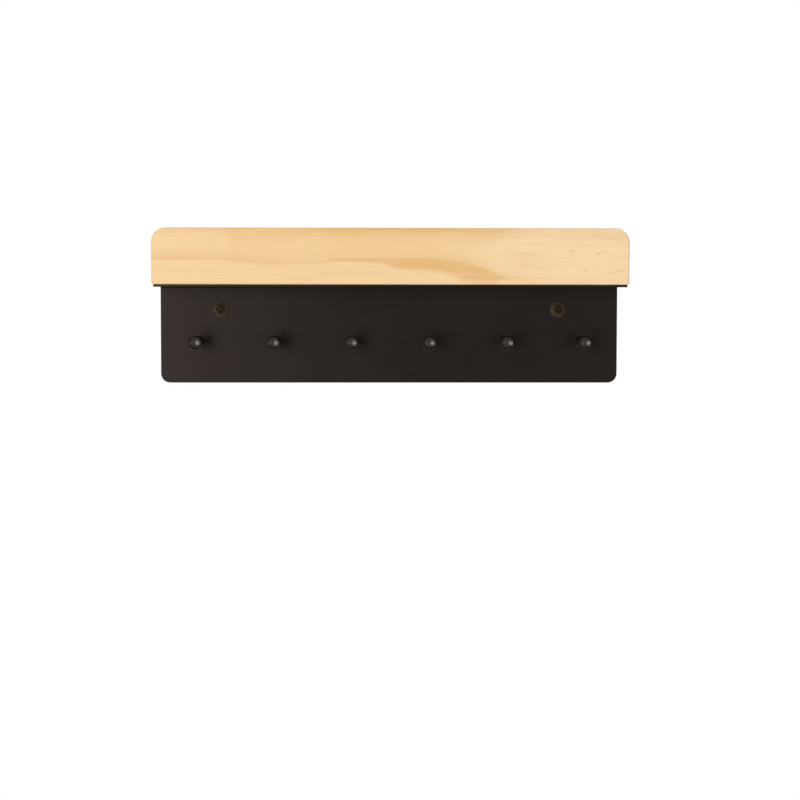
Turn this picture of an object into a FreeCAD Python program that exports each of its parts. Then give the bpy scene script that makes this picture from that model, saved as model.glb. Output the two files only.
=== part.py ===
import FreeCAD, Part
import math
import os

# A wall key holder: one folded steel sheet is both the wall plate and a narrow shelf, a pine rail
# stands on the shelf's front edge, and a row of turned pegs is riveted into the plate.
#
# Millimetres. +Z is up, +X is to the right as seen from the room, and the front faces -Y.
# The origin is on the plate's back face, midway between the two wall screws.

# Folded sheet
sheet_width = 298.0
sheet_thickness = 1.5
bend_inside_radius = 1.5
shelf_depth = 50.0
plate_height = 64.0
plate_corner_radius = 6.0
shelf_corner_radius = 1.5

# Pine rail on the shelf's front edge
rail_height = 35.5
rail_thickness = 15.0
rail_end_overhang = 1.0
rail_front_overhang = 0.5
rail_top_corner_radius = 9.0
rail_foot_corner_radius = 1.3
rail_edge_radius = 1.0

# Countersunk wood screws that hold the rail from below
rail_screw_count = 3
rail_screw_end_distance = 30.0
rail_screw_length = 16.0
rail_screw_diameter = 3.0
rail_screw_head_diameter = 5.6
rail_screw_recess_width = 3.4
rail_screw_recess_slot = 0.8
rail_screw_recess_depth = 1.1

# Truss-head screws that hold the plate to the wall
wall_screw_end_distance = 39.0
wall_screw_drop = 16.0
wall_screw_diameter = 4.0
wall_screw_neck_diameter = 3.2
wall_screw_length = 25.0
wall_screw_head_diameter = 10.4
wall_screw_head_rim = 0.6
wall_screw_head_dome = 1.6
wall_screw_recess_width = 6.2
wall_screw_recess_slot = 1.6
wall_screw_recess_depth = 1.5

# Turned pegs
peg_count = 6
peg_end_distance = 24.0
peg_line_height = 26.5
peg_projection = 24.0
peg_shaft_diameter = 5.2
peg_collar_diameter = 7.6
peg_collar_rim = 0.8
peg_collar_thickness = 1.4
peg_neck_flare = 1.8
peg_head_diameter = 9.2
peg_head_thickness = 2.2
peg_head_chamfer = 0.5
peg_dish_diameter = 7.8
peg_dish_depth = 0.9
peg_dish_middle_diameter = 4.4
peg_dish_middle_depth = 0.62
peg_spigot_diameter = 4.0
peg_rivet_diameter = 5.4

# Clearances, each on the diameter of its hole, and the slack at a screw's ends
peg_hole_clearance = 0.1
wall_hole_clearance = 0.5
rail_hole_clearance = 0.2
pilot_end_clearance = 1.0
thread_start_gap = 0.5

# Screw points and countersinks slope at this angle from the screw's axis
countersink_half_angle = 45.0
screw_point_half_angle = 25.0

# Places that follow from the sizes above
UP = FreeCAD.Vector(0, 0, 1)
TO_WALL = FreeCAD.Vector(0, 1, 0)
TO_ROOM = FreeCAD.Vector(0, -1, 0)
plate_front_y = -sheet_thickness
shelf_top_z = wall_screw_drop
shelf_under_z = shelf_top_z - sheet_thickness
plate_bottom_z = shelf_top_z - plate_height
peg_line_z = plate_bottom_z + peg_line_height
rail_front_y = -(shelf_depth + rail_front_overhang)
rail_middle_y = rail_front_y + rail_thickness / 2
rail_length = sheet_width + 2 * rail_end_overhang
slope = math.tan(math.radians(countersink_half_angle))


def same(first, second):
    """Whether two lengths agree to a thousandth of a millimetre."""
    return abs(first - second) < 0.001


def rounded_outline(corners, to_space):
    """A closed wire through corners (u, v, radius): each corner is an arc tangent to its two sides."""
    points = [FreeCAD.Vector(u, v, 0) for u, v, _ in corners]
    stops = []
    for i, (_, _, radius) in enumerate(corners):
        corner = points[i]
        back = (points[i - 1] - corner).normalize()
        ahead = (points[(i + 1) % len(points)] - corner).normalize()
        half = back.getAngle(ahead) / 2
        run = radius / math.tan(half)
        bisector = (back + ahead).normalize()
        middle = corner + bisector * (radius / math.sin(half) - radius)
        stops.append((corner + back * run, middle, corner + ahead * run, radius))
    edges = []
    for i, (start, middle, end, radius) in enumerate(stops):
        if radius:
            edges.append(Part.Arc(to_space(start), to_space(middle), to_space(end)).toShape())
        following = stops[(i + 1) % len(stops)][0]
        if not same(end.distanceToPoint(following), 0):
            edges.append(Part.makeLine(to_space(end), to_space(following)))
    return Part.Wire(Part.__sortEdges__(edges))


def turned(corners):
    """A solid turned about Z from the corners (radius, height) of its half section."""
    points = [FreeCAD.Vector(radius, 0, height) for radius, height in corners]
    outline = Part.makePolygon(points + points[:1])
    return Part.Face(outline).revolve(FreeCAD.Vector(0, 0, 0), UP, 360)


def spherical_cap(radius, height):
    """The cap of a ball: its flat round face, of this radius, lies on Z 0, and it rises to height."""
    ball_radius = (radius ** 2 + height ** 2) / (2 * height)
    centre_z = height - ball_radius
    half_turn = math.asin(radius / ball_radius) / 2
    rim = FreeCAD.Vector(radius, 0, 0)
    middle = FreeCAD.Vector(ball_radius * math.sin(half_turn), 0, centre_z + ball_radius * math.cos(half_turn))
    top = FreeCAD.Vector(0, 0, height)
    foot = FreeCAD.Vector(0, 0, 0)
    edges = [Part.Arc(rim, middle, top).toShape(), Part.makeLine(top, foot), Part.makeLine(foot, rim)]
    return Part.Face(Part.Wire(edges)).revolve(foot, UP, 360)


def cross_recess(width, slot, depth):
    """A cross driver recess: two crossed slots inside a cone that narrows from Z 0 down to -depth."""
    cone = Part.makeCone(width / 2, slot / 2, depth, FreeCAD.Vector(0, 0, 0), -UP)
    slots = []
    for length, breadth in ((width, slot), (slot, width)):
        slots.append(Part.makeBox(length, breadth, depth, FreeCAD.Vector(-length / 2, -breadth / 2, -depth)))
    return cone.common(slots[0].fuse(slots[1]))


def aimed(shape, place, direction):
    """A shape modelled about Z from the origin, set at a place with its +Z along a direction."""
    turned_shape = shape.copy()
    turned_shape.Placement = FreeCAD.Placement(place, FreeCAD.Rotation(UP, direction))
    return turned_shape


def sharp_edges(shape, least_turn=30):
    """The edges where two faces meet at more than least_turn degrees."""
    found = []
    for edge in shape.Edges:
        point = edge.valueAt((edge.FirstParameter + edge.LastParameter) / 2)
        faces = shape.ancestorsOfType(edge, Part.Face)
        normals = [face.normalAt(*face.Surface.parameter(point)) for face in faces]
        if len(normals) == 2 and normals[0].getAngle(normals[1]) > math.radians(least_turn):
            found.append(edge)
    return found


def evenly_spaced(count, end_distance):
    """X of each of count holes in a row, the outer two this far from the sheet's ends."""
    reach = sheet_width / 2 - end_distance
    return [-reach + 2 * reach * i / (count - 1) for i in range(count)]


def peg_places():
    """The middle of each peg's seat on the plate's front face, from left to right."""
    return [FreeCAD.Vector(x, plate_front_y, peg_line_z) for x in evenly_spaced(peg_count, peg_end_distance)]


def wall_screw_places():
    """The middle of each wall screw's seat on the plate's front face."""
    return [FreeCAD.Vector(x, plate_front_y, 0) for x in evenly_spaced(2, wall_screw_end_distance)]


def rail_screw_places():
    """The middle of each rail screw's head, flush with the shelf's underside."""
    places = evenly_spaced(rail_screw_count, rail_screw_end_distance)
    return [FreeCAD.Vector(x, rail_middle_y, shelf_under_z) for x in places]


def folded_blank():
    """The sheet before its holes: plate and shelf in one, with a true bend between them."""
    outside_radius = bend_inside_radius + sheet_thickness
    section = rounded_outline(
        [
            (0, plate_bottom_z, 0),
            (plate_front_y, plate_bottom_z, 0),
            (plate_front_y, shelf_under_z, bend_inside_radius),
            (-shelf_depth, shelf_under_z, 0),
            (-shelf_depth, shelf_top_z, 0),
            (0, shelf_top_z, outside_radius),
        ],
        lambda p: FreeCAD.Vector(-sheet_width / 2, p.x, p.y),
    )
    blank = Part.Face(section).extrude(FreeCAD.Vector(sheet_width, 0, 0))
    for corner_z, radius in ((plate_bottom_z, plate_corner_radius), (shelf_top_z, shelf_corner_radius)):
        blank = blank.makeFillet(radius, corner_edges(blank, corner_z))
    return blank


def corner_edges(blank, corner_z):
    """The two edges through the sheet's thickness at the free end that reaches this height."""
    found = []
    for edge in blank.Edges:
        at_end = same(abs(edge.CenterOfMass.x), sheet_width / 2)
        through = same(edge.Length, sheet_thickness) and edge.Curve.TypeId == "Part::GeomLine"
        at_height = same(edge.BoundBox.ZMin, corner_z) or same(edge.BoundBox.ZMax, corner_z)
        if at_end and through and at_height:
            found.append(edge)
    return found


def steel_bracket():
    """The folded sheet with its peg, wall screw and rail screw holes."""
    holes = []
    for place in peg_places():
        holes.append(aimed(peg_hole(), place, TO_ROOM))
    for place in wall_screw_places():
        radius = (wall_screw_diameter + wall_hole_clearance) / 2
        holes.append(Part.makeCylinder(radius, sheet_thickness, place, TO_WALL))
    for place in rail_screw_places():
        holes.append(aimed(rail_screw_hole(), place, UP))
    return folded_blank().cut(holes)


def peg_hole():
    """A peg's hole, from its seat at Z 0 back through the plate, with the rivet's countersink."""
    hole_radius = (peg_spigot_diameter + peg_hole_clearance) / 2
    rivet_radius = peg_rivet_diameter / 2
    straight = Part.makeCylinder(hole_radius, sheet_thickness, FreeCAD.Vector(0, 0, 0), -UP)
    return straight.fuse(rivet_cone(rivet_radius))


def rivet_cone(rivet_radius):
    """The cone that a peened peg end fills, flush with the plate's back face."""
    back = FreeCAD.Vector(0, 0, -sheet_thickness)
    narrow_radius = peg_spigot_diameter / 2
    return Part.makeCone(rivet_radius, narrow_radius, (rivet_radius - narrow_radius) / slope, back, UP)


def peg():
    """A peg turned about Z: the collar's seat is at Z 0, the dished head above, the riveted spigot below."""
    spigot_radius = peg_spigot_diameter / 2
    rivet_radius = peg_rivet_diameter / 2
    collar_radius = peg_collar_diameter / 2
    shaft_radius = peg_shaft_diameter / 2
    head_radius = peg_head_diameter / 2
    head_back = peg_projection - peg_head_thickness
    rivet_depth = (rivet_radius - spigot_radius) / slope
    return turned(
        [
            (0, -sheet_thickness),
            (rivet_radius, -sheet_thickness),
            (spigot_radius, rivet_depth - sheet_thickness),
            (spigot_radius, 0),
            (collar_radius, 0),
            (collar_radius, peg_collar_rim),
            (shaft_radius, peg_collar_thickness),
            (shaft_radius, head_back - peg_neck_flare),
            (head_radius, head_back),
            (head_radius, peg_projection - peg_head_chamfer),
            (head_radius - peg_head_chamfer, peg_projection),
            (peg_dish_diameter / 2, peg_projection),
            (peg_dish_middle_diameter / 2, peg_projection - peg_dish_middle_depth),
            (0, peg_projection - peg_dish_depth),
        ]
    )


def wall_screw():
    """A truss-head wood screw along +Z: the head's seat is at Z 0 and its dome below."""
    head_radius = wall_screw_head_diameter / 2
    thread_radius = wall_screw_diameter / 2
    neck_radius = wall_screw_neck_diameter / 2
    thread_start = sheet_thickness + thread_start_gap
    point_length = thread_radius / math.tan(math.radians(screw_point_half_angle))
    shank = turned(
        [
            (0, -wall_screw_head_rim),
            (head_radius, -wall_screw_head_rim),
            (head_radius, 0),
            (neck_radius, 0),
            (neck_radius, thread_start),
            (thread_radius, thread_start),
            (thread_radius, wall_screw_length - point_length),
            (0, wall_screw_length),
        ]
    )
    rim_bottom = FreeCAD.Vector(0, 0, -wall_screw_head_rim)
    dome = aimed(spherical_cap(head_radius, wall_screw_head_dome), rim_bottom, -UP)
    recess = cross_recess(wall_screw_recess_width, wall_screw_recess_slot, wall_screw_recess_depth)
    crown = FreeCAD.Vector(0, 0, -wall_screw_head_rim - wall_screw_head_dome)
    return shank.fuse(dome).removeSplitter().cut(aimed(recess, crown, -UP))


def rail_screw():
    """A countersunk wood screw along +Z, with the flat of its head at Z 0."""
    head_radius = rail_screw_head_diameter / 2
    thread_radius = rail_screw_diameter / 2
    point_length = thread_radius / math.tan(math.radians(screw_point_half_angle))
    shank = turned(
        [
            (0, 0),
            (head_radius, 0),
            (thread_radius, (head_radius - thread_radius) / slope),
            (thread_radius, rail_screw_length - point_length),
            (0, rail_screw_length),
        ]
    )
    recess = cross_recess(rail_screw_recess_width, rail_screw_recess_slot, rail_screw_recess_depth)
    return shank.cut(aimed(recess, FreeCAD.Vector(0, 0, 0), -UP))


def rail_screw_hole():
    """What a rail screw takes out of the shelf and the rail: its head's seat and a pilot hole."""
    head_radius = rail_screw_head_diameter / 2
    pilot_radius = (rail_screw_diameter + rail_hole_clearance) / 2
    thread_radius = rail_screw_diameter / 2
    seat = Part.makeCone(head_radius, thread_radius, (head_radius - thread_radius) / slope)
    return seat.fuse(Part.makeCylinder(pilot_radius, rail_screw_length + pilot_end_clearance))


def wood_rail():
    """The pine rail, with rounded top corners, eased edges and a pilot hole for each screw."""
    half = rail_length / 2
    top = shelf_top_z + rail_height
    outline = rounded_outline(
        [
            (-half, shelf_top_z, rail_foot_corner_radius),
            (half, shelf_top_z, rail_foot_corner_radius),
            (half, top, rail_top_corner_radius),
            (-half, top, rail_top_corner_radius),
        ],
        lambda p: FreeCAD.Vector(p.x, rail_front_y, p.y),
    )
    plank = Part.Face(outline).extrude(TO_WALL * rail_thickness)
    plank = plank.makeFillet(rail_edge_radius, sharp_edges(plank))
    return plank.cut([aimed(rail_screw_hole(), place, UP) for place in rail_screw_places()])


def all_parts():
    """Every piece by name. Screws of one kind are one group of separate solids."""
    parts = {"steel_bracket": steel_bracket(), "wood_rail": wood_rail()}
    for number, place in enumerate(peg_places(), start=1):
        parts[f"peg_{number}"] = aimed(peg(), place, TO_ROOM)
    parts["wall_screws"] = Part.makeCompound([aimed(wall_screw(), place, TO_WALL) for place in wall_screw_places()])
    parts["rail_screws"] = Part.makeCompound([aimed(rail_screw(), place, UP) for place in rail_screw_places()])
    return parts


os.makedirs("parts", exist_ok=True)
for name, shape in all_parts().items():
    shape.exportStep(f"parts/{name}.step")
    print(f"{name}: {len(shape.Solids)} solid(s), {shape.Volume:.0f} mm3, valid: {shape.isValid()}")
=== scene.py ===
# %% [markdown]
# # A wall key holder, dressed for its picture
#
# One steel sheet is folded into a wall plate and a narrow shelf. A pine rail stands on the shelf's
# front edge, and six turned black pegs are riveted into the plate.
#
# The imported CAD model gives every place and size. This lesson loads it, sets up a camera and soft
# light, mixes a finish for each material out of shader nodes, and makes finer pegs and screws than
# the CAD facets can show.

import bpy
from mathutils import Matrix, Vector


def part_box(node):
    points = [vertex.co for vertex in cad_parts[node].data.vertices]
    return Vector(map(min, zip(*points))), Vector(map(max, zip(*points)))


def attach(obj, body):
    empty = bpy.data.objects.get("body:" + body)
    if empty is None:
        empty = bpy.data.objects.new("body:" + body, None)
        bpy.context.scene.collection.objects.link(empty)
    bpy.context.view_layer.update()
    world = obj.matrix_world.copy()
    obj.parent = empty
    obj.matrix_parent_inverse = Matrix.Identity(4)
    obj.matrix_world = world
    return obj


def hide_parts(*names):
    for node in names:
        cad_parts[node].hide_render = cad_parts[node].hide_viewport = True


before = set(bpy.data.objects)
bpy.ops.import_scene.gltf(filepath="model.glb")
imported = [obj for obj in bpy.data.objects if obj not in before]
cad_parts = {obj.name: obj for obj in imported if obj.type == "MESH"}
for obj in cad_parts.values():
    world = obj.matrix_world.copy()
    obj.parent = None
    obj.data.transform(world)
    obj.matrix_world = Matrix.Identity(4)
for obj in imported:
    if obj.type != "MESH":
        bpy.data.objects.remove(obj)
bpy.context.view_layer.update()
print("CAD nodes:", ", ".join(sorted(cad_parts)))

# %% Blender's modules, and one unit
import math

import bmesh
import bpy
from mathutils import Vector

mm = 0.001  # Blender counts in metres, and a maker in millimetres

# %% [markdown]
# ## The camera
#
# A photograph's camera can be found from points that are easy to see in it: the rail's corners, the
# plate's ends and the heads of the pegs. A long lens from about 1.27 m away puts all of them on their
# pixels. It looks a little down, so the object sits above the middle of the picture, with no lens
# shift. That matters later: other views keep the lens, and a shift would push the object off centre.

# %% Set the camera
picture_width = 800
focal_length_in_pixels = 1934.4
sensor_width = 36.0
camera_place = Vector((-23.8, -1265.6, 16.0)) * mm
look_down, look_right, roll = math.radians(3.413), math.radians(1.387), math.radians(-0.07)

camera = bpy.data.objects.new("camera", bpy.data.cameras.new("camera"))
bpy.context.scene.collection.objects.link(camera)
camera.location = camera_place
camera.rotation_euler = (math.radians(90) - look_down, roll, -look_right)
camera.data.sensor_width = sensor_width
camera.data.lens = sensor_width * focal_length_in_pixels / picture_width
bpy.context.scene.camera = camera
print(f"Camera: {camera.data.lens:.1f} mm lens, {-camera_place.y:.2f} m in front of the wall face")

# %% [markdown]
# ## Helpers for shader nodes
#
# A finish is a small network of nodes. Writing each node out takes four lines, so one helper adds a
# node, sets its options, and fills its inputs: a socket is linked, anything else is a set value.
# The shader at the end of a network is filled in the same way. So a gloss that is the same all over
# is a plain number on the shader, and only what changes over the surface comes from nodes.
#
# Most of that change is noise. Its values gather round 0.5, mostly from 0.3 to 0.7, so it is usually
# taken from that range and moved to the range that a colour or a roughness needs.

# %% Fill inputs, and add a node
def fill_inputs(tree, node, inputs):
    """Links each input that is given another node's output, and sets any other value on it."""
    for name, value in inputs.items():
        if isinstance(value, bpy.types.NodeSocket):
            tree.links.new(value, node.inputs[name])
        else:
            node.inputs[name].default_value = value


def put(tree, kind, inputs, **options):
    """Adds a node. Inputs are values, or outputs of other nodes to link. Gives its first output."""
    node = tree.nodes.new("ShaderNode" + kind)
    for option, value in options.items():
        setattr(node, option, value)
    fill_inputs(tree, node, inputs)
    return next(output for output in node.outputs if output.enabled)


# %% Small sums in nodes
def calc(tree, operation, *values):
    """One Math node, such as calc(tree, "ADD", a, 2.0)."""
    return put(tree, "Math", dict(enumerate(values)), operation=operation)


def between(tree, value, low, high, new_low=0.0, new_high=1.0, smooth=False):
    """Moves a value from one range to another, and holds it inside the new one."""
    kind = "SMOOTHSTEP" if smooth else "LINEAR"
    ranges = {"Value": value, "From Min": low, "From Max": high, "To Min": new_low, "To Max": new_high}
    return put(tree, "MapRange", ranges, interpolation_type=kind)


def how_far(tree, across, up):
    """The length of a step that goes this far across and this far up."""
    across_squared = calc(tree, "POWER", across, 2.0)
    up_squared = calc(tree, "POWER", up, 2.0)
    return calc(tree, "SQRT", calc(tree, "ADD", across_squared, up_squared))


# %% Colours and vectors in nodes
def blend_colours(tree, amount, first, second, how="MIX"):
    """Mixes two colours: amount 0 gives the first, and 1 the second."""
    node = tree.nodes.new("ShaderNodeMix")
    node.data_type = "RGBA"
    node.blend_type = how
    amount_input, first_colour_input, second_colour_input, colour_output = 0, 6, 7, 2
    inputs = {amount_input: amount, first_colour_input: first, second_colour_input: second}
    fill_inputs(tree, node, inputs)
    return node.outputs[colour_output]


def split(tree, vector):
    """A vector's three parts."""
    node = tree.nodes.new("ShaderNodeSeparateXYZ")
    tree.links.new(vector, node.inputs[0])
    return node.outputs


def length_of(tree, vector):
    """How long a vector is."""
    node = tree.nodes.new("ShaderNodeVectorMath")
    node.operation = "LENGTH"
    tree.links.new(vector, node.inputs[0])
    return node.outputs["Value"]


# %% Start a finish
def start_finish(name):
    """A new material. Gives it, its network, its shader, and each point's place in millimetres."""
    finish = bpy.data.materials.new(name)
    finish.use_nodes = True
    tree = finish.node_tree
    shader = tree.nodes["Principled BSDF"]
    place = tree.nodes.new("ShaderNodeTexCoord").outputs["Object"]
    place_mm = put(tree, "VectorMath", {0: place, "Scale": 1 / mm}, operation="SCALE")
    return finish, tree, shader, place_mm


# %% Noise and bump
def stretched_noise(tree, place_mm, lengths, detail=2.0, roughness=0.5):
    """Smooth noise whose blotches are about this long, in millimetres, along X, Y and Z."""
    squeezed = put(tree, "VectorMath", {0: place_mm, 1: lengths}, operation="DIVIDE")
    noise = {"Vector": squeezed, "Scale": 1.0, "Detail": detail, "Roughness": roughness}
    return put(tree, "TexNoise", noise)


def add_bump(tree, shader, height, depth_mm, strength=1.0):
    """Raises the surface where height is 1, by depth_mm, in the shading alone."""
    bump = put(tree, "Bump", {"Height": height, "Distance": depth_mm * mm, "Strength": strength})
    tree.links.new(bump, shader.inputs["Normal"])


# %% [markdown]
# ## The pine
#
# A board is a slice through a tree's growth rings. Painting lines on its front would leave the ends
# and the back wrong, so the rings are made in space: every point's distance from the tree's heart
# decides its tone, and each face of the board shows its own cut through them.
#
# The heart lies behind the board. The one ring that crosses the front is a thin line on the left, and
# opens into a broad honey-coloured tongue right of the middle. Its upper side shows again as a band
# along the top. Two drawn curves place it: how high the heart runs, and how high the ring's edge
# meets the front. The ring's radius follows from both.

# %% Draw a slow change along the board
board_half_length = 150.0


def along_board(tree, x_mm, points, low, high):
    """A value that follows a drawn curve from the board's left end to its right end."""
    share = between(tree, x_mm, -board_half_length, board_half_length)
    node = tree.nodes.new("ShaderNodeFloatCurve")
    curve = node.mapping.curves[0]
    while len(curve.points) < len(points):
        curve.points.new(0.5, 0.5)
    for point, (x, value) in zip(curve.points, sorted(points)):
        share_along = (x + board_half_length) / (2 * board_half_length)
        point.location = (share_along, (value - low) / (high - low))
        point.handle_type = "AUTO_CLAMPED"
    node.mapping.update()
    tree.links.new(share, node.inputs["Value"])
    return between(tree, node.outputs[0], 0.0, 1.0, low, high)


# %% Where the ring's edge runs
heart_y, board_front_y = -5.0, -50.5
heart_height = [
    (-150, 42.8), (-112, 42.6), (-92, 38.6), (-60, 37.8), (-35, 39.0), (-20, 39.4), (30, 39.4),
    (50, 37.8), (61, 35.8), (74, 34.2), (88, 34.4), (110, 38.0), (150, 39.3),
]
edge_height = [
    (-150, 33.6), (-101, 33.5), (-88, 32.0), (-72, 30.9), (-45, 31.0), (-37, 33.4), (-28, 34.3),
    (6, 34.3), (22, 34.6), (38, 32.8), (49, 30.8), (57, 28.4), (64, 25.2), (72, 22.1),
    (99, 20.8), (150, 20.0),
]

pine, tree, shader, place_mm = start_finish("pine_matte_lacquer")
x_mm, y_mm, z_mm = split(tree, place_mm)
heart_z = along_board(tree, x_mm, heart_height, 30.0, 45.0)
edge_z = along_board(tree, x_mm, edge_height, 15.0, 40.0)
edge_radius = how_far(tree, board_front_y - heart_y, calc(tree, "SUBTRACT", heart_z, edge_z))
print("Pine: the tree's heart runs", heart_y - board_front_y, "mm behind the front face")

# %% The growth rings
ring_width = 6.0
wander_mm, ripple_mm = 0.05, 0.24

wander = stretched_noise(tree, place_mm, (60.0, 14.0, 14.0))
ripple = stretched_noise(tree, place_mm, (26.0, 1.6, 1.6), detail=3.0, roughness=0.6)
above_heart = calc(tree, "SUBTRACT", z_mm, heart_z)
distance = how_far(tree, calc(tree, "SUBTRACT", y_mm, heart_y), above_heart)
distance = calc(tree, "ADD", distance, between(tree, wander, 0.0, 1.0, -wander_mm, wander_mm))
distance = calc(tree, "ADD", distance, between(tree, ripple, 0.0, 1.0, -ripple_mm, ripple_mm))
rings_out = calc(tree, "DIVIDE", calc(tree, "SUBTRACT", distance, edge_radius), ring_width)
in_ring = calc(tree, "MULTIPLY", calc(tree, "FRACT", rings_out), ring_width)
print("Pine: growth rings", ring_width, "mm wide")

# %% [markdown]
# Each ring has a broad pale part, grown in spring, and a narrow dark part, grown late in the year.
# A saw that meets a ring at a flat angle makes its dark part look wide, and this board has both: a
# thin line on the left, and the wide tongue. So a third curve draws how wide the dark part is along
# the board, and a fourth how dark. It starts at a clear edge, fades slowly into the next ring's pale
# wood, and is broken into strands. A weaker glow comes just before the edge.

# %% Late wood is the dark part of a ring
late_wood_width = [
    (-150, 0.7), (-101, 0.7), (-72, 0.5), (-44, 0.5), (-36, 0.7), (-10, 1.0), (4, 2.1), (28, 3.0),
    (40, 4.0), (50, 4.8), (58, 4.6), (66, 2.6), (74, 1.0), (90, 0.6), (150, 0.35),
]
other_ring_width, sharpest_edge, upper_blur, upper_extra_width = 1.4, 0.5, 0.6, 1.6

upper_side = between(tree, above_heart, 0.0, 4.0, smooth=True)
front_ring = calc(tree, "COMPARE", calc(tree, "FLOOR", rings_out), 0.0, 0.5)
late_width = along_board(tree, x_mm, late_wood_width, 0.0, 5.0)
soft_edge = calc(tree, "MINIMUM", calc(tree, "MULTIPLY", late_width, 0.45), sharpest_edge)
soft_edge = calc(tree, "ADD", soft_edge, calc(tree, "MULTIPLY", upper_side, upper_blur))
late_width = calc(tree, "ADD", late_width, calc(tree, "MULTIPLY", upper_side, upper_extra_width))
late_width = between(tree, front_ring, 0.0, 1.0, other_ring_width, late_width)
print("Pine: late wood from", late_wood_width[-1][1], "to", max(w for _, w in late_wood_width), "mm wide")

# %% How dark each point of a ring is
late_wood_depth = [
    (-150, 0.6), (-60, 0.6), (-30, 0.8), (5, 0.9), (55, 0.95), (75, 0.6), (105, 0.25), (150, 0.15),
]
dawn_width, dawn_depth = 0.9, 0.38

dawn = between(tree, in_ring, ring_width - dawn_width, ring_width, 0.0, dawn_depth, smooth=True)
rise = between(tree, in_ring, 0.0, soft_edge, dawn_depth, 1.0, smooth=True)
fall = between(tree, calc(tree, "DIVIDE", in_ring, late_width), 0.45, 1.0, 1.0, 0.0, smooth=True)
late_wood = calc(tree, "MAXIMUM", calc(tree, "MULTIPLY", rise, fall), dawn)
late_wood = calc(tree, "MULTIPLY", late_wood, along_board(tree, x_mm, late_wood_depth, 0.0, 1.0))
strands = stretched_noise(tree, place_mm, (34.0, 0.9, 0.9), detail=3.0, roughness=0.65)
late_wood = calc(tree, "MULTIPLY", late_wood, between(tree, strands, 0.3, 0.65, 0.62, 1.08))

# %% [markdown]
# Fresh pine isn't one colour. It is creamier towards the right of this board, blushes pink beside the
# ring's thin edge on the left, and has broad warm clouds. Over all of that run the fibres: noise
# stretched along the board, fine and faint, because sanding and lacquer leave them to be seen only
# from near.

# %% Tones of the pine
pale_wood = (0.85, 0.60, 0.315, 1)
creamy_wood = (0.89, 0.66, 0.385, 1)
blush_wood = (0.83, 0.555, 0.31, 1)
honey_wood = (0.72, 0.415, 0.14, 1)
glow_width = 0.9
glow_depth = [(-150, 0.9), (-80, 0.8), (-52, 0.3), (-20, 0.1), (20, 0.0), (150, 0.0)]

to_the_right = between(tree, x_mm, -40.0, 120.0, smooth=True)
tone = blend_colours(tree, to_the_right, pale_wood, creamy_wood)
from_edge = calc(tree, "ABSOLUTE", calc(tree, "SUBTRACT", distance, edge_radius))
beside_edge = between(tree, from_edge, 0.0, glow_width, 1.0, 0.0, smooth=True)
glow = calc(tree, "MULTIPLY", beside_edge, along_board(tree, x_mm, glow_depth, 0.0, 1.0))
tone = blend_colours(tree, glow, tone, blush_wood)
tone = blend_colours(tree, late_wood, tone, honey_wood)
clouds = stretched_noise(tree, place_mm, (75.0, 7.0, 7.0), detail=4.0, roughness=0.65)
blush = between(tree, clouds, 0.42, 0.72, 0.0, 0.75, smooth=True)
tone = blend_colours(tree, blush, tone, blush_wood)

# %% Fibres and streaks
fibres = stretched_noise(tree, place_mm, (16.0, 0.35, 0.35), detail=3.0, roughness=0.6)
streaks = stretched_noise(tree, place_mm, (55.0, 1.3, 1.3), detail=2.0)
fibre_shade = between(tree, fibres, 0.2, 0.8, 0.94, 1.05)
streak_shade = between(tree, streaks, 0.25, 0.75, 0.975, 1.02)
shade = calc(tree, "MULTIPLY", fibre_shade, streak_shade)
shade_colour = put(tree, "CombineColor", {0: shade, 1: shade, 2: shade})
tone = blend_colours(tree, 1.0, tone, shade_colour, how="MULTIPLY")

# %% Resin flecks, and the small marks near the right end
fleck_brown = (0.52, 0.28, 0.11, 1)
mark_depth, mark_strength = 1.5, 0.34
board_marks = [  # place along the board, height, half length, half height, slope in degrees
    (114.0, 37.3, 2.6, 1.2, 0),
    (130.2, 35.8, 2.8, 1.2, -10),
    (134.4, 37.4, 2.6, 0.9, -30),
    (142.0, 24.2, 9.0, 1.0, -13),
    (122.5, 25.0, 4.0, 0.9, 0),
]
flecks = stretched_noise(tree, place_mm, (4.5, 0.9, 0.9), detail=1.0)
flecked = between(tree, flecks, 0.76, 0.82, 0.0, 0.45)
for x, z, half_length, half_height, slope in board_marks:
    ellipsoid = {
        "Vector": place_mm,
        "Location": (x, board_front_y, z),
        "Rotation": (0, math.radians(slope), 0),
        "Scale": (half_length, mark_depth, half_height),
    }
    from_middle = length_of(tree, put(tree, "Mapping", ellipsoid, vector_type="TEXTURE"))
    mark = between(tree, from_middle, 0.1, 1.0, mark_strength, 0.0, smooth=True)
    flecked = calc(tree, "MAXIMUM", flecked, mark)
tone = blend_colours(tree, flecked, tone, fleck_brown)
print("Pine:", len(board_marks), "marks placed by hand")

# %% A matte lacquer over fine sanded wood
lacquer_roughness = between(tree, fibres, 0.2, 0.8, 0.62, 0.48)
lacquer = {"Base Color": tone, "Roughness": lacquer_roughness, "Specular IOR Level": 0.35}
fill_inputs(tree, shader, lacquer)
add_bump(tree, shader, fibres, depth_mm=0.03)
print("Pine:", len(tree.nodes), "nodes")

# %% [markdown]
# ## The powder coat
#
# Powder paint is sprayed on dry and baked, so it flows into a fine pebbled skin, like an orange's.
# It is a very dark warm brown-black here, and mostly matte: what makes it look like paint and not
# like a hole in the picture is the soft broad highlight that the pebbles scatter. That highlight is
# a little red, so the plate is warmest at its left end, where the window's light glances off it.

# %% Mix the powder coat
powder_dark, powder_light = (0.0056, 0.0051, 0.0040, 1), (0.0078, 0.0071, 0.0056, 1)
powder_glint = (1.0, 0.76, 0.73, 1)

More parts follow.
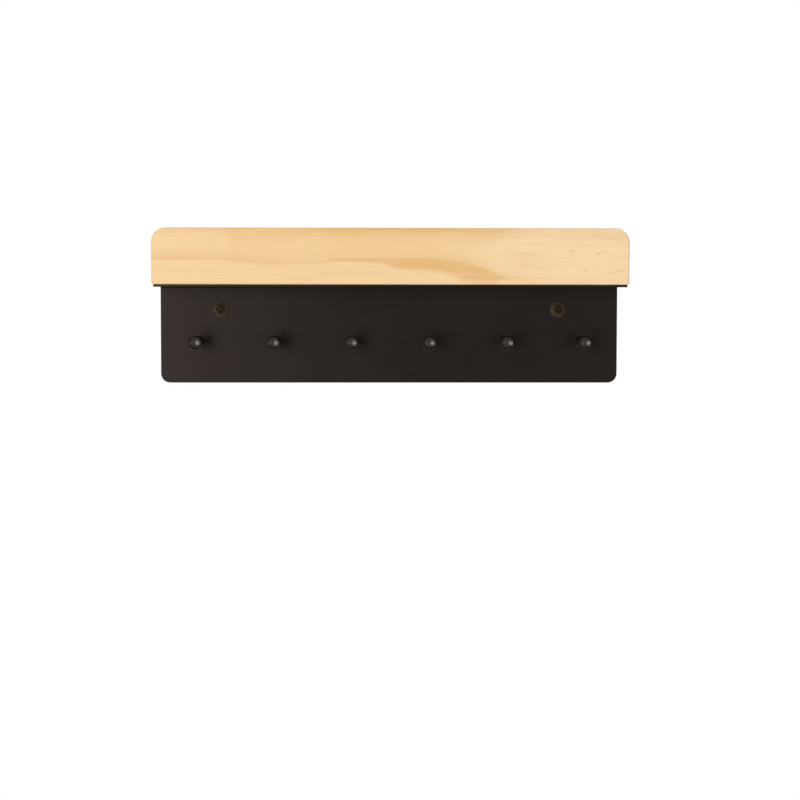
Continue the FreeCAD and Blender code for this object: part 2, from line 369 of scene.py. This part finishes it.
powder_coat, tree, shader, place_mm = start_finish("powder_coat_warm_black")
pebbles = stretched_noise(tree, place_mm, (0.9, 0.9, 0.9), detail=2.0)
clouds = stretched_noise(tree, place_mm, (38.0, 30.0, 26.0), detail=3.0)
cloudy_roughness = between(tree, clouds, 0.3, 0.7, 0.31, 0.37)
pebble_roughness = between(tree, pebbles, 0.3, 0.7, -0.03, 0.03)
fill_inputs(tree, shader, {
    "Base Color": blend_colours(tree, clouds, powder_dark, powder_light),
    "Roughness": calc(tree, "ADD", cloudy_roughness, pebble_roughness),
    "Specular IOR Level": 0.18,
    "Specular Tint": powder_glint,
})
add_bump(tree, shader, pebbles, depth_mm=0.03)
print("Powder coat:", len(tree.nodes), "nodes")

# %% [markdown]
# ## The black of the pegs
#
# The pegs are turned steel with a smooth black coat, and the tool's fine rings still show. The middle
# of each dish gets a paler steel colour as painted light, so that the dish looks lit, and the coat
# round it stays a dark line that reads as a shaded rim. On the rivet's end, which was hammered, the
# coat has rubbed thin and a little bare steel shows through, in the same paler colour. A point's
# distance from the peg's axis and its place along the peg tell where that is.

# %% Mix the black of the pegs
plate_thickness, peg_reach = 1.5, 24.0
coat_dark, coat_light = (0.004, 0.003, 0.0028, 1), (0.009, 0.0068, 0.0062, 1)
# The paler pair is painted light in the dish, and bare steel on the rivet's hammered end.
lit_and_bare_dark, lit_and_bare_light = (0.020, 0.015, 0.014, 1), (0.038, 0.029, 0.027, 1)
peg_glint = (1.0, 0.88, 0.84, 1)
lit_dish_radius, coated_radius = 2.6, 3.4

peg_black, tree, shader, place_mm = start_finish("peg_satin_black")
x_mm, y_mm, z_mm = split(tree, place_mm)
from_axis = how_far(tree, x_mm, y_mm)
# Painted light: near the axis at the front, the dish's middle is painted paler so that it looks lit.
near_axis = between(tree, from_axis, lit_dish_radius, coated_radius, 1.0, 0.0, smooth=True)
at_front = between(tree, z_mm, peg_reach - 2.0, peg_reach - 1.5)
at_back = between(tree, z_mm, 0.01 - plate_thickness, 0.05 - plate_thickness, 1.0, 0.0)
lit_dish_and_rubbed_end = calc(tree, "MAXIMUM", calc(tree, "MULTIPLY", near_axis, at_front), at_back)

mottle = stretched_noise(tree, place_mm, (2.2, 2.2, 2.2), detail=2.0)
coat = blend_colours(tree, mottle, coat_dark, coat_light)
lit_and_bare = blend_colours(tree, mottle, lit_and_bare_dark, lit_and_bare_light)
fill_inputs(tree, shader, {
    "Base Color": blend_colours(tree, lit_dish_and_rubbed_end, coat, lit_and_bare),
    "Roughness": between(tree, mottle, 0.3, 0.7, 0.20, 0.26),
    "Specular IOR Level": 0.36,
    "Specular Tint": peg_glint,
})
print("Peg black:", len(tree.nodes), "nodes")

# %% Rings left by the lathe's tool
around_axis = {"Vector": place_mm, "Scale": 1.3, "Distortion": 0.4, "Detail": 1.0}
tool_rings = put(tree, "TexWave", around_axis, wave_type="RINGS", rings_direction="Z")
add_bump(tree, shader, tool_rings.node.outputs["Fac"], depth_mm=0.008, strength=0.5)

# %% [markdown]
# ## The plating of the screws
#
# The wall screws are plated dark bronze, and the rail screws black. Plating is never even, so it is cloudy.
# The head's middle, round the recess, is painted darker as painted shade, and it is painted a little
# brighter towards the head's rim as a painted highlight. Both kinds of screw share one recipe, with their own
# colours.

# %% Mix the plating of the screws
wall_head_radius, rail_head_radius = 5.2, 2.8


def screw_plating(name, head_radius, dark, light, glint, roughness):
    """Plated steel, cloudy between two colours, with painted shade over the middle and a painted highlight
    from half way out to the head's rim.
    """
    finish, tree, shader, place_mm = start_finish(name)
    x_mm, y_mm, _ = split(tree, place_mm)
    recess_edge, rim_edge = 0.5 * head_radius, 0.74 * head_radius
    # Painted shade over the middle of the head, and a painted highlight towards its rim.
    recess_shade_and_rim_highlight = between(tree, how_far(tree, x_mm, y_mm), recess_edge, rim_edge, 0.25, 1.0, smooth=True)
    clouds = stretched_noise(tree, place_mm, (1.6, 1.6, 1.6), detail=3.0)
    clouds_and_painted_light = calc(tree, "MULTIPLY", between(tree, clouds, 0.3, 0.7, 0.4, 1.0), recess_shade_and_rim_highlight)
    fill_inputs(tree, shader, {
        "Base Color": blend_colours(tree, clouds_and_painted_light, dark, light),
        "Roughness": between(tree, clouds, 0.3, 0.7, roughness, roughness + 0.1),
        "Specular IOR Level": 0.15,
        "Specular Tint": glint,
    })
    grain = stretched_noise(tree, place_mm, (0.25, 0.25, 0.25), detail=1.0)
    add_bump(tree, shader, grain, depth_mm=0.006)
    print(f"{name}: {len(tree.nodes)} nodes")
    return finish


bronze_plating = screw_plating(
    "screw_dark_bronze",
    wall_head_radius,
    dark=(0.015, 0.008, 0.002, 1),
    light=(0.060, 0.046, 0.032, 1),
    glint=(1.0, 0.8, 0.55, 1),
    roughness=0.42,
)
black_plating = screw_plating(
    "screw_black_zinc",
    rail_head_radius,
    dark=(0.020, 0.019, 0.019, 1),
    light=(0.050, 0.047, 0.046, 1),
    glint=(1.0, 1.0, 1.0, 1),
    roughness=0.38,
)

# %% [markdown]
# ## Turning on a lathe
#
# Pegs and screws are round, so each is drawn as half of its section and spun about its axis. The CAD
# facets are fine for a catalogue, but a picture shows the tiny roundings at each edge, because that is
# where the light glints. So the same corners are drawn again here with a rounding each.

# %% Round the corners of a half section
def round_corners(corners, steps=5):
    """Points along a half section. Each corner is (radius, height, rounding), in millimetres."""
    points = []
    for index, (radius, height, rounding) in enumerate(corners):
        corner = Vector((radius, height))
        if not rounding:
            points.append(corner)
            continue
        back = (Vector(corners[index - 1][:2]) - corner).normalized()
        ahead = (Vector(corners[index + 1][:2]) - corner).normalized()
        half = back.angle(ahead) / 2
        middle = corner + (back + ahead).normalized() * rounding / math.sin(half)
        first = (corner + back * rounding / math.tan(half) - middle).normalized()
        last = (corner + ahead * rounding / math.tan(half) - middle).normalized()
        points += [middle + first.slerp(last, step / steps) * rounding for step in range(steps + 1)]
    return points


def ball_cap(radius, edge, rise, steps=8):
    """Corners over a ball's cap, from just inside its edge to the axis. A rise below 0 is a hollow."""
    ball = (radius ** 2 + rise ** 2) / (2 * abs(rise))
    corners = []
    for step in range(1, steps + 1):
        out = radius * (1 - step / steps)
        lift = math.sqrt(ball ** 2 - out ** 2) - ball + abs(rise)
        corners.append((out, edge + math.copysign(lift, rise), 0))
    return corners


# %% Lay a skin over rings
def turned_rings(corners, segments=64):
    """The rings of a turned solid: its half section's points, the same all the way round."""
    return [[(point.x, point.y)] * segments for point in round_corners(corners)]


def skin(rings):
    """A closed mesh, in metres, over rings of points about Z. A ring is a list of (radius, height)."""
    solid = bmesh.new()
    laid = []
    for ring in rings:
        turn = 2 * math.pi / len(ring)
        spots = []
        for i, (radius, height) in enumerate(ring):
            spots.append(Vector((radius * math.cos(i * turn), radius * math.sin(i * turn), height)) * mm)
        on_axis = ring[0][0] == 0
        laid.append([solid.verts.new(spot) for spot in (spots[:1] if on_axis else spots)])
    for low, high in zip(laid, laid[1:]):
        count = max(len(low), len(high))
        for i in range(count):
            after = i + 1
            corners = [low[i % len(low)], low[after % len(low)], high[after % len(high)], high[i % len(high)]]
            solid.faces.new(dict.fromkeys(corners))  # a point on the axis comes twice, and is used once
    bmesh.ops.recalc_face_normals(solid, faces=solid.faces)
    return solid


# %% Make an object of it
def make_piece(name, solid, finish, node, smooth_below=32):
    """Turns a mesh under construction into a piece that stands for a CAD node."""
    open_edges = sum(len(edge.link_faces) != 2 for edge in solid.edges)
    mesh = bpy.data.meshes.new(name)
    for face in solid.faces:
        face.smooth = True
    solid.to_mesh(mesh)
    solid.free()
    mesh.set_sharp_from_angle(angle=math.radians(smooth_below))
    mesh.materials.append(finish)
    piece = bpy.data.objects.new(name, mesh)
    bpy.context.scene.collection.objects.link(piece)
    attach(piece, "root")
    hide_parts(node)
    print(f"{name}: {len(mesh.polygons)} faces, {open_edges} open edges")
    return piece


# %% [markdown]
# ## The pegs
#
# A peg starts as a rod in a lathe. A collar stops it at the plate, the shaft swells into a head so that
# nothing slides off, and a shallow dish is turned into the head. Behind the collar a spigot
# goes through the plate and is hammered flush into a countersink: that rivet shows on the back.

# %% Draw half of a peg's section
spigot_radius, rivet_radius = 2.0, 2.7
collar_radius, collar_edge, collar_thickness = 3.8, 0.8, 1.4
shaft_radius, swell_start, head_back = 2.6, 20.0, 21.8
head_radius, head_chamfer, dish_radius, dish_depth = 4.6, 0.5, 3.9, 0.9
peg_corners = [  # radius, height above the plate, rounding
    (0, -plate_thickness, 0),
    (rivet_radius, -plate_thickness, 0),
    (spigot_radius, rivet_radius - spigot_radius - plate_thickness, 0),
    (spigot_radius, 0, 0),
    (collar_radius, 0, 0.1),
    (collar_radius, collar_edge, 0.35),
    (shaft_radius, collar_thickness, 0.3),
    (shaft_radius, swell_start, 1.6),
    (head_radius, head_back, 0.35),
    (head_radius, peg_reach - head_chamfer, 0.25),
    (head_radius - head_chamfer, peg_reach, 0.15),
    (dish_radius, peg_reach, 0.1),
] + ball_cap(dish_radius, peg_reach, -dish_depth)
print("A peg's half section has", len(round_corners(peg_corners)), "points")

# %% Turn the six pegs
for number in range(1, 7):
    node = f"peg_{number}"
    low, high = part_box(node)
    peg = make_piece(f"turned_{node}", skin(turned_rings(peg_corners)), peg_black, node)
    peg.location = ((low[0] + high[0]) / 2, -plate_thickness * mm, (low[2] + high[2]) / 2)
    peg.rotation_euler.x = math.radians(90)

# %% [markdown]
# ## The screws
#
# A wood screw is forged, then its thread is rolled. The thread is one long ridge that climbs around the
# core, so the screw is a turned solid whose radius also depends on the angle. The same rings that make
# a peg make it: in the threaded part each ring has its own radius at every step round, and the
# ridge moves on a little from ring to ring.
#
# The cross in the head is cut with a Boolean, as a punch would press it.

# %% Rings of a threaded shank
def threaded_rings(start, tip, point_length, core, crest, pitch, segments=48, rows_per_turn=14):
    """Rings from where the thread starts to the screw's tip, in millimetres."""
    ridge_half_width = 0.27  # as a share of the pitch
    rings = []
    rows = round((tip - start) / pitch * rows_per_turn)
    for row in range(rows):
        height = start + (tip - start) * row / rows
        taper = min(1.0, (tip - height) / point_length)
        run_in = min(1.0, row / rows_per_turn)
        ring = []
        for i in range(segments):
            along_ridge = ((height - start) / pitch - i / segments) % 1.0
            ridge = max(0.0, 1.0 - abs(along_ridge - 0.5) / ridge_half_width) * run_in
            ring.append(((core + (crest - core) * ridge) * taper, height))
        rings.append(ring)
    rings.append([(0, tip)] * segments)
    return rings


# %% A punch for the cross recess
def cross_punch(width, slot, depth, crown):
    """A tapered cross that starts a little outside the head's crown and ends at the recess's depth."""
    lead, draft = 0.3, 0.06
    outside = (crown - lead, width / 2 * (1 + lead / depth), slot / 2 + draft)
    inside = (crown + depth, slot * 0.7, slot * 0.36)
    solid = bmesh.new()
    outlines = []
    for height, reach, half in (outside, inside):
        outline = []
        for turn in range(4):
            for across, up in ((reach, -half), (reach, half), (half, half)):
                for _ in range(turn):
                    across, up = -up, across
                outline.append(solid.verts.new(Vector((across, up, height)) * mm))
        outlines.append(outline)
    first, last = outlines
    for i in range(len(first)):
        after = (i + 1) % len(first)
        solid.faces.new((first[i], first[after], last[after], last[i]))
    solid.faces.new(first)
    solid.faces.new(last)
    bmesh.ops.recalc_face_normals(solid, faces=solid.faces)
    return solid


# %% Press the punch into a head
def punch(screw, solid):
    """Cuts a shape out of a piece, and keeps the result as the piece's plain mesh."""
    mesh = bpy.data.meshes.new("punch")
    solid.to_mesh(mesh)
    solid.free()
    tool = bpy.data.objects.new("punch", mesh)
    bpy.context.scene.collection.objects.link(tool)
    cut = screw.modifiers.new("recess", "BOOLEAN")
    cut.object, cut.operation, cut.solver = tool, "DIFFERENCE", "EXACT"
    with_recess = screw.evaluated_get(bpy.context.evaluated_depsgraph_get())
    screw.data = bpy.data.meshes.new_from_object(with_recess)
    screw.modifiers.clear()
    bpy.data.objects.remove(tool)
    print(f"{screw.name}: {len(screw.data.polygons)} faces with its recess")


# %% Make the two wall screws
wall_rim, wall_dome, neck_radius = 0.6, 1.6, 1.6
wall_crown = -(wall_rim + wall_dome)
dome = [(r, h, 0) for r, h, _ in reversed(ball_cap(wall_head_radius - 0.05, -wall_rim, -wall_dome))]
wall_screw_corners = dome + [
    (wall_head_radius, -wall_rim, 0.25),
    (wall_head_radius, 0, 0.15),
    (neck_radius, 0, 0.15),
    (neck_radius, 1.9, 0.1),
    (1.3, 2.0, 0),
]
wall_thread = threaded_rings(start=2.05, tip=25.0, point_length=4.29, core=1.3, crest=2.0, pitch=1.8)

low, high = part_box("wall_screws")
for side, x in (("left", low[0] + wall_head_radius * mm), ("right", high[0] - wall_head_radius * mm)):
    body = skin(turned_rings(wall_screw_corners, segments=48) + wall_thread)
    screw = make_piece(f"wall_screw_{side}", body, bronze_plating, "wall_screws")
    punch(screw, cross_punch(width=6.2, slot=1.6, depth=1.5, crown=wall_crown))
    screw.location = (x, -plate_thickness * mm, 0)
    screw.rotation_euler.x = math.radians(-90)

# %% Make the three rail screws
rail_screw_corners = [(0, 0, 0), (rail_head_radius, 0, 0.1), (1.45, 1.35, 0.15), (1.1, 1.6, 0)]
rail_thread = threaded_rings(start=1.65, tip=16.0, point_length=3.22, core=1.0, crest=1.5, pitch=1.3)

low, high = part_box("rail_screws")
first_x = low[0] + rail_head_radius * mm
between_first_and_last = high[0] - low[0] - 2 * rail_head_radius * mm
for number, share in enumerate((0.0, 0.5, 1.0), start=1):
    body = skin(turned_rings(rail_screw_corners, segments=48) + rail_thread)
    screw = make_piece(f"rail_screw_{number}", body, black_plating, "rail_screws")
    punch(screw, cross_punch(width=3.4, slot=0.8, depth=1.1, crown=0))
    x = first_x + between_first_and_last * share
    screw.location = (x, (low[1] + high[1]) / 2, low[2])

# %% [markdown]
# ## The folded sheet and the rail
#
# These two keep their CAD meshes. Powder paint draws back from a sharp edge and leaves it round, so the
# sheet gets a fine bevel. Its facets are first welded, because a bevel needs faces that share their edges.

# %% Dress the CAD nodes
for name, finish in (("steel_bracket", powder_coat), ("wood_rail", pine)):
    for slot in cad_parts[name].material_slots:
        slot.material = finish
    print(f"{name}: {finish.name}")

# %% Round the painted edges of the sheet
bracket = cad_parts["steel_bracket"]
weld = bracket.modifiers.new("shared_edges", "WELD")
weld.merge_threshold = 0.001 * mm
painted_edge = bracket.modifiers.new("painted_edge", "BEVEL")
painted_edge.width = 0.3 * mm
painted_edge.segments = 3
painted_edge.limit_method = "ANGLE"
painted_edge.angle_limit = math.radians(40)
painted_edge.harden_normals = True
print(f"steel_bracket: edges rounded by {painted_edge.width / mm:.1f} mm")

# %% [markdown]
# ## The floor and the room
#
# A piece that hangs on a wall is as high as a shoulder, so the floor is far below it. Its rim fades
# out, and the picture has no horizon line behind the object.
#
# A product picture has a white surround, but a black plate in an all-white room would mirror it and
# turn grey. A studio solves that with a lit backdrop and dark walls beside the lamps. Here a Light
# Path node does the same: the camera sees a white room and a floor that glows a little, and
# everything else sees a dim room and a plain pale floor. That is the same from every side.

# %% Lay the floor
floor_depth, floor_radius = 1.35, 3.6
fade_start, fade_end = 1500.0, 3500.0  # millimetres from the middle
floor_glow = 0.25

mesh = bpy.data.meshes.new("floor")
disc = bmesh.new()
bmesh.ops.create_circle(disc, cap_ends=True, segments=96, radius=floor_radius)
disc.to_mesh(mesh)
disc.free()
floor = bpy.data.objects.new("floor", mesh)
floor.location.z = -floor_depth
bpy.context.scene.collection.objects.link(floor)

floor_paint, tree, shader, place_mm = start_finish("floor_pale")
seen_by_camera = tree.nodes.new("ShaderNodeLightPath").outputs["Is Camera Ray"]
fill_inputs(tree, shader, {
    "Base Color": (0.86, 0.86, 0.85, 1),
    "Roughness": 0.9,
    "Alpha": between(tree, length_of(tree, place_mm), fade_start, fade_end, 1.0, 0.0, smooth=True),
    "Emission Color": (1.0, 1.0, 1.0, 1),
    "Emission Strength": between(tree, seen_by_camera, 0.0, 1.0, 0.0, floor_glow),
})
mesh.materials.append(floor_paint)
print(f"Floor: {floor_depth} m below the object's middle, {floor_radius} m in radius")

# %% A white room
dim_room, white_backdrop = 0.18, 1.0

room = bpy.data.worlds.new("white_room")
bpy.context.scene.world = room
room.use_nodes = True
tree = room.node_tree
seen_by_camera = tree.nodes.new("ShaderNodeLightPath").outputs["Is Camera Ray"]
fill_inputs(tree, tree.nodes["Background"], {
    "Color": (1.0, 1.0, 1.0, 1),
    "Strength": between(tree, seen_by_camera, 0.0, 1.0, dim_room, white_backdrop),
})

# %% [markdown]
# ## The lamps
#
# The glints in the pegs' dishes tell where the light came from. A dish is hollow, so its glint lies
# on the side away from the lamp: a bright glint on the right means a large window to the left, and a
# faint one on the left means a weak fill to the right. Both stand in front, at about the object's
# height, and the window also gives the plate its brighter left end. A lamp above picks out the rail's
# top, and one behind lights the back for the other views, without reaching the front.

# %% Hang four soft lamps
def soft_lamp(name, place, size, power, colour=(1.0, 1.0, 1.0)):
    """A square lamp that faces the middle of the object. Metres and watts."""
    lamp = bpy.data.objects.new(name, bpy.data.lights.new(name, "AREA"))
    lamp.data.size = size
    lamp.data.energy = power
    lamp.data.color = colour
    lamp.location = place
    lamp.rotation_euler = (-Vector(place)).to_track_quat("-Z", "Y").to_euler()
    bpy.context.scene.collection.objects.link(lamp)
    print(f"{name}: {power:.0f} W, {Vector(place).length:.2f} m away")


daylight = (1.0, 0.985, 0.96)
soft_lamp("window", (-1.5, -3.2, -0.2), size=1.7, power=86.0, colour=daylight)
soft_lamp("fill", (1.3, -3.2, -0.2), size=1.6, power=12.0)
soft_lamp("ceiling", (0.2, -0.6, 1.9), size=1.4, power=14.0)
soft_lamp("back_fill", (1.0, 2.4, 1.0), size=1.8, power=42.0)
bpy.context.scene.view_settings.view_transform = "Standard"  # colours come out as they were mixed
